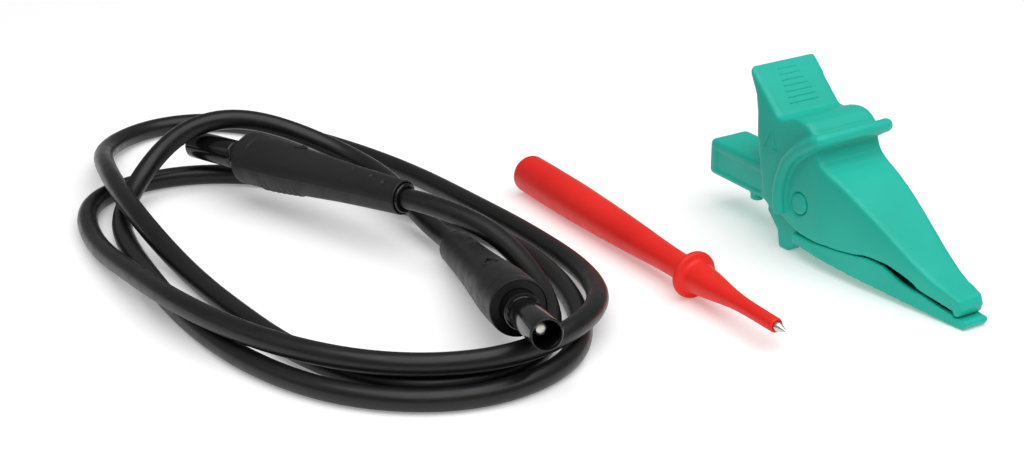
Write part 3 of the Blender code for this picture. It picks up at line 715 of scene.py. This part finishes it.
def probe():
    """Red probe: a smooth waisted handle, a thin guard disc and a long nose round the rod."""
    guard = PROBE_GUARD
    handle = softened([
        (0.9, 5.4), (6.0, 5.45), (12.0, 5.46), (25.0, 5.4), (36.0, 5.1), (46.0, 4.75), (56.0, 4.3),
        (64.0, 3.88), (71.0, 3.58), (76.0, 3.5), (guard - 3.2, 3.52),
    ], 0.5)
    disc = [
        (guard - 2.2, 3.62), (guard - 1.7, 3.9), (guard - 1.45, 4.4), (guard - 1.25, 5.2),
        (guard - 0.95, 5.85), (guard - 0.5, 6.2), (guard + 0.1, 6.3), (guard + 0.6, 6.17),
        (guard + 0.95, 5.85), (guard + 1.15, 5.3), (guard + 1.35, 4.8), (guard + 1.7, 4.42),
    ]
    nose = softened([
        (guard + 2.3, 4.25), (88.0, 3.95), (92.0, 3.45), (96.0, 2.85), (101.0, 2.25), (106.0, 2.0),
        (112.0, 1.93), (PROBE_LENGTH - 0.7, 1.9),
    ], 0.4)
    turned("probe_red_handle", [
        (0.25, SOCKET_BORE), (0.05, 4.5), (0.0, 4.7), (0.03, 4.95), (0.15, 5.15), (0.4, 5.3),
        *handle, *disc, *nose, (PROBE_LENGTH - 0.3, 1.82), (PROBE_LENGTH - 0.08, 1.7),
        (PROBE_LENGTH, 1.56), (PROBE_LENGTH - 0.02, 1.4), (PROBE_LENGTH - 0.2, 1.3), (34.3, 1.3),
        (34.3, 3.1), (SOCKET_DEPTH, 3.1), (SOCKET_DEPTH, SOCKET_BORE),
    ], PROBE, RED, "probe", "red_plastic", "probe_handle", segments=128)
    turned("probe_tube", [
        (3.0, 2.15), (3.0, 2.7), (3.1, 2.8), (34.0, 2.8), (34.0, 0.0), (28.0, 0.0), (28.0, 2.05),
        (3.2, 2.05),
    ], PROBE, NICKEL, "probe", "nickel_plate", "probe_socket_tube")
    turned("probe_point", [
        (34.6, 0.0), (34.6, 1.2), (PROBE_LENGTH + 0.7, 1.2), (PROBE_LENGTH + 0.85, 1.16),
        (PROBE_LENGTH + 1.0, 1.08), (PROBE_TIP - 0.45, 0.34), (PROBE_TIP - 0.2, 0.22),
        (PROBE_TIP - 0.05, 0.1), (PROBE_TIP, 0.0),
    ], PROBE, NICKEL, "probe", "nickel_plate", "probe_contact_rod", segments=64)


# ---------------------------------------------------------------- clip

CLIP_PLAN = [
    (12.0, 11.0), (16.0, 10.5), (26.0, 9.4), (37.0, 7.6), (48.0, 5.8), (59.5, 3.9), (62.0, 3.7),
]
UPPER_OUTLINE = [
    (-17.0, 48.0), (-5.0, 37.2), (-2.5, 37.3), (0.5, 38.6), (3.5, 39.2), (6.5, 38.8), (8.8, 37.4),
    (10.4, 35.2), (11.0, 32.0), (12.2, 29.6), (15.0, 28.0), (20.0, 26.1), (25.0, 23.7),
    (31.0, 20.5), (37.0, 17.0), (43.0, 13.4), (49.0, 10.4), (54.0, 8.6), (58.3, 7.4),
    (59.4, 5.3), (58.7, 2.9), (57.3, 2.9), (56.8, 4.1), (47.0, 5.9), (41.0, 8.0), (36.0, 9.2),
    (30.0, 9.4), (20.0, 8.1), (12.0, 7.6), (6.0, 7.8), (1.0, 9.4), (-2.5, 11.0), (-6.3, 10.9),
    (-9.8, 13.0), (-10.8, 18.0), (-12.3, 24.0), (-13.2, 31.0), (-13.4, 36.0), (-14.4, 41.0),
    (-17.1, 46.0),
]
UPPER_HOLLOW = [
    (-20.0, 47.8), (-5.3, 34.6), (-2.0, 34.9), (3.5, 36.9), (6.3, 36.4), (8.2, 34.6), (9.0, 31.5),
    (10.6, 28.2), (14.2, 26.2), (24.2, 21.9), (36.1, 15.3), (48.1, 8.7), (55.0, 6.4),
    (55.0, -2.0), (-20.0, -2.0),
]
LOWER_OUTLINE = [
    (3.2, 4.3), (59.0, 0.0), (60.6, 0.3), (61.5, 1.6), (61.0, 2.5), (57.2, 2.5), (56.2, 3.1),
    (52.0, 3.8), (47.0, 5.1), (44.0, 5.4), (40.5, 6.2), (37.5, 7.5), (34.5, 8.7), (30.0, 9.15),
    (20.0, 7.95), (12.0, 7.45), (6.0, 7.4), (3.2, 7.4),
]
LOWER_HOLLOW = [(5.0, 5.8), (55.0, 2.0), (55.0, 12.0), (5.0, 12.0)]
CHEEK_OUTLINE = [
    (-9.5, 20.0), (-3.0, 22.5), (3.0, 23.5), (9.0, 22.0), (13.0, 17.5), (13.5, 7.2), (13.5, 3.6),
    (3.2, 4.3), (-0.6, 0.0), (-4.3, 0.0), (-5.2, 4.6), (-9.6, 8.8),
]
CHEEK_SLOT = [(-7.9, 30.0), (-7.9, 9.6), (-3.6, 5.9), (20.0, 5.2), (20.0, 30.0)]


def clip_plan(inset):
    """Plan outline of the jaws, as wide as the clip at the rear and tapering to the tip."""
    half = [(CLIP_REAR, CLIP_HALF_WIDTH - inset)] + [(s, w - inset) for s, w in CLIP_PLAN]
    return half + [(s, -w) for s, w in reversed(half)]


def guard_bead():
    """Raised bead round the lever: up one side, over the top and down the other."""
    side = [(-0.9, 11.8), (-1.6, 17.0), (-0.8, 22.0), (1.2, 27.0), (5.0, 31.2), (9.0, 34.0), (11.4, 35.6)]
    corner = BEAD_REACH - 1.6
    near = [Vector((s, -BEAD_REACH, z)) for s, z in side]
    over = [Vector((12.4, -corner, 36.0)), Vector((12.6, 0.0, 36.2)), Vector((12.4, corner, 36.0))]
    far = [Vector((s, BEAD_REACH, z)) for s, z in reversed(side)]
    return tube_mesh("guard_bead", smooth_points(near + over + far, 120), BEAD_RADIUS)


def across(s, z, low):
    """Frame of a round shape that lies across the clip."""
    return Matrix.Translation((s, low, z)) @ Matrix.Rotation(pi / 2, 4, "Z")


def pin_hole():
    """Cutter for the pivot's hole, longer than the clip is wide."""
    length = 40.0
    profile = [(0.0, 0.0), (0.0, PIN_HOLE_RADIUS), (length, PIN_HOLE_RADIUS), (length, 0.0)]
    mesh = turned_mesh("pin_hole", profile, 48)
    mesh.transform(across(PIVOT_S, PIVOT_Z, -length / 2))
    return mesh


def eased_edges(mesh, rounds, where):
    """Smooth the mesh further, only where a test of the place says so."""
    work = bmesh.new()
    work.from_mesh(mesh)
    chosen = [vert for vert in work.verts if where(vert.co)]
    for _ in range(rounds):
        bmesh.ops.smooth_vert(work, verts=chosen, factor=0.5, use_axis_x=True, use_axis_y=True,
                              use_axis_z=True)
    work.to_mesh(mesh)
    work.free()
    return mesh


def joined(first, second):
    work = bmesh.new()
    work.from_mesh(first)
    work.from_mesh(second)
    work.to_mesh(first)
    work.free()
    return first


def height_at(outline, s):
    """Height of an outline that runs forwards, at one place along the clip."""
    for (s1, z1), (s2, z2) in zip(outline, outline[1:]):
        if s <= s2:
            return z1 + (z2 - z1) * max(s - s1, 0.0) / (s2 - s1)
    return outline[-1][1]


def outer_edge(spot):
    """Whether a place is on the upper jaw's outer sides or the strip of its top next to them."""
    rear = -12.5
    front = 54.0
    foot = 12.5
    fall = 0.13
    wall = height_at([(CLIP_REAR, CLIP_HALF_WIDTH)] + CLIP_PLAN, spot.x)
    on_rim = abs(spot.y) > wall - EASED_STRIP
    return on_rim and rear < spot.x < front and spot.z + fall * spot.x > foot


def upper_jaw():
    """Lever and upper jaw in one hollow moulding, with a bar across in front of the lever's hump."""
    web = prism_mesh("web", [(8.0, 33.2), (12.2, 34.4), (12.6, 36.4), (8.0, 36.4)], -10.2, 10.2)
    half = CLIP_HALF_WIDTH - CLIP_WALL
    hollow = carve(prism_mesh("hollow", UPPER_HOLLOW, -half, half),
                   [("INTERSECT", plan_mesh("inner_taper", clip_plan(CLIP_WALL), PLAN_LOW, PLAN_HIGH))])
    shell = carve(prism_mesh("shell", UPPER_OUTLINE, -CLIP_HALF_WIDTH, CLIP_HALF_WIDTH, RIM_BEVEL),
                  [("INTERSECT", plan_mesh("taper", clip_plan(0.0), PLAN_LOW, PLAN_HIGH)), ("UNION", web),
                   ("DIFFERENCE", hollow), ("DIFFERENCE", pin_hole())])
    shell = eased_edges(moulded(shell, 4), EASED_ROUNDS, outer_edge)
    mesh = moulded(joined(shell, guard_bead()), 2)
    mesh.transform(CLIP)
    add_piece("clip_lever_and_jaw", mesh, TEAL, "clip_jaw", "teal_plastic", "clip_upper_jaw")


def thumb_ridges():
    """Short cross ridges down the lever's sloping pad, longer towards its foot."""
    top = Vector((-15.1, 0.0, 46.2))
    foot = Vector((-7.3, 0.0, 39.2))
    for index in range(RIDGES):
        share = index / (RIDGES - 1)
        middle = top.lerp(foot, share)
        half = 3.0 + 2.0 * share
        line = [middle + Vector((0, -half + 2 * half * step / 12, 0)) for step in range(13)]
        mesh = tube_mesh(f"thumb_ridge_{index + 1}", line, RIDGE_RADIUS, 12)
        mesh.transform(CLIP)
        add_piece(f"clip_thumb_ridge_{index + 1}", smooth_shaded(mesh, 60), TEAL, "clip_jaw", "teal_plastic")


def lower_jaw():
    """Lower jaw, hook foot, cheeks and socket sleeve, with a plain sunk panel on the sleeve."""
    body = prism_mesh("body", LOWER_OUTLINE, -CLIP_HALF_WIDTH, CLIP_HALF_WIDTH, RIM_BEVEL)
    hollow = carve(prism_mesh("hollow", LOWER_HOLLOW, -CLIP_HALF_WIDTH, CLIP_HALF_WIDTH),
                   [("INTERSECT", plan_mesh("inner_taper", clip_plan(LOWER_WALL), PLAN_LOW, PLAN_HIGH))])
    cheeks = prism_mesh("cheeks", CHEEK_OUTLINE, -CHEEK_HALF_WIDTH, CHEEK_HALF_WIDTH, 0.7)
    slot_half = CHEEK_HALF_WIDTH - CHEEK_WALL
    slot = prism_mesh("slot", CHEEK_SLOT, -slot_half, slot_half)
    low = (SOCKET_REAR_S, -SOCKET_HALF_WIDTH, SOCKET_AXIS_Z - SOCKET_HALF_HEIGHT)
    high = (SOCKET_FRONT_S, SOCKET_HALF_WIDTH, SOCKET_AXIS_Z + SOCKET_HALF_HEIGHT)
    sleeve = box_mesh("sleeve", low, high, 1.5)
    stub = turned_mesh("stub", [(7.6, 0.0), (7.6, 1.5), (7.9, 1.9), (10.4, 1.9), (10.4, 0.0)], 40)
    stub.transform(Matrix.Translation((-19.5, -4.2, 0.0)) @ Matrix.Rotation(-pi / 2, 4, "Y"))
    bore = turned_mesh("bore", [
        (-2.0, 0.0), (-2.0, SOCKET_BORE), (SOCKET_DEPTH, SOCKET_BORE), (SOCKET_DEPTH, 3.1),
        (40.0, 3.1), (40.0, 0.0),
    ], 64)
    bore.transform(Matrix.Translation((SOCKET_REAR_S, 0.0, SOCKET_AXIS_Z)))
    panels = []
    for side in (-1, 1):
        wall = side * SOCKET_HALF_WIDTH
        panels.append(box_mesh("panel", (-35.4, wall - 0.55, 11.2), (-15.0, wall + 0.55, 17.2), 0.25))
    mesh = carve(body, [("INTERSECT", plan_mesh("taper", clip_plan(0.0), PLAN_LOW, PLAN_HIGH)),
                        ("DIFFERENCE", hollow), ("UNION", cheeks), ("DIFFERENCE", slot),
                        ("UNION", sleeve), ("UNION", stub), ("DIFFERENCE", bore),
                        ("DIFFERENCE", panels[0]), ("DIFFERENCE", panels[1]),
                        ("DIFFERENCE", pin_hole())])
    mesh = moulded(mesh, 5)
    mesh.transform(CLIP)
    add_piece("clip_body_and_socket", mesh, TEAL, "clip", "teal_plastic", "clip_lower_jaw")


def clip_details():
    half = CLIP_HALF_WIDTH + 0.4
    length = 2 * half
    place = CLIP @ across(PIVOT_S, PIVOT_Z, -half)
    turned("clip_pivot_boss", [
        (0.1, 0.0), (0.03, 1.2), (0.0, 1.9), (0.06, 2.3), (0.2, 2.65), (0.45, 2.85), (0.8, BOSS_RADIUS),
        (2.2, BOSS_RADIUS), (2.4, PIN_SHAFT_RADIUS), (length - 2.4, PIN_SHAFT_RADIUS),
        (length - 2.2, BOSS_RADIUS), (length - 0.8, BOSS_RADIUS), (length - 0.45, 2.85),
        (length - 0.2, 2.65), (length - 0.06, 2.3),
        (length, 1.9), (length - 0.03, 1.2), (length - 0.1, 0.0),
    ], place, TEAL, "clip", "teal_plastic", "clip_pivot_pin", segments=64)
    for side, name in ((-1, "near"), (1, "far")):
        face = CLIP @ Matrix.Translation((-7.2, side * (CLIP_HALF_WIDTH - 0.02), 29.3))
        face = face @ Matrix.Rotation(pi / 2, 4, "X")
        triangle_mark(f"clip_{name}_triangle", face, "clip_jaw", "teal_plastic", TEAL, 3.1, 0.26, 0.24)
    turned("clip_tube", [
        (3.0, 2.15), (3.0, 2.7), (3.1, 2.8), (29.9, 2.8), (29.9, 0.0), (27.0, 0.0), (27.0, 2.05),
        (3.2, 2.05),
    ], CLIP @ Matrix.Translation((SOCKET_REAR_S, 0.0, SOCKET_AXIS_Z)), NICKEL, "clip", "nickel_plate",
        "clip_socket_tube", segments=64)


def jaw_spring():
    """Torsion spring on the pivot pin, one leg down on the floor and one up under the lever."""
    floor_angle = radians(-125)
    lever_angle = radians(118)
    sweep = 2 * pi * SPRING_TURNS + lever_angle - floor_angle
    steps = 200
    points = [Vector((-3.2, -SPRING_HALF_WIDTH, 8.6))]
    for step in range(steps + 1):
        turn = floor_angle + sweep * step / steps
        s = PIVOT_S + SPRING_COIL_RADIUS * cos(turn)
        z = PIVOT_Z + SPRING_COIL_RADIUS * sin(turn)
        points.append(Vector((s, -SPRING_HALF_WIDTH + 2 * SPRING_HALF_WIDTH * step / steps, z)))
    points.append(Vector((-6.0, SPRING_HALF_WIDTH, 33.6)))
    mesh = tube_mesh("clip_torsion_spring", points, SPRING_WIRE_RADIUS, 16)
    mesh.transform(CLIP)
    piece = add_piece("clip_torsion_spring", smooth_shaded(mesh, 50), SPRING_STEEL, "clip", "spring_steel",
                      "clip_spring")
    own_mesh(piece)


def dress_cad_nodes():
    """Plated finish for the hidden and half-hidden pieces that keep their CAD shape."""
    plated = ["plug_a_ferrule", "plug_b_ferrule", "clip_conductor_strip", "clip_lower_contact",
              "clip_upper_contact"]
    for name in plated:
        for slot in bpy.data.objects[name].material_slots:
            slot.material = NICKEL


bpy.context.scene.view_settings.view_transform = "Standard"
camera()
cable()
studio()
for label, place in (("a", PLUG_A), ("b", PLUG_B)):
    plug(label, place)
    spring_cage(label, place)
probe()
upper_jaw()
thumb_ridges()
lower_jaw()
clip_details()
jaw_spring()
dress_cad_nodes()
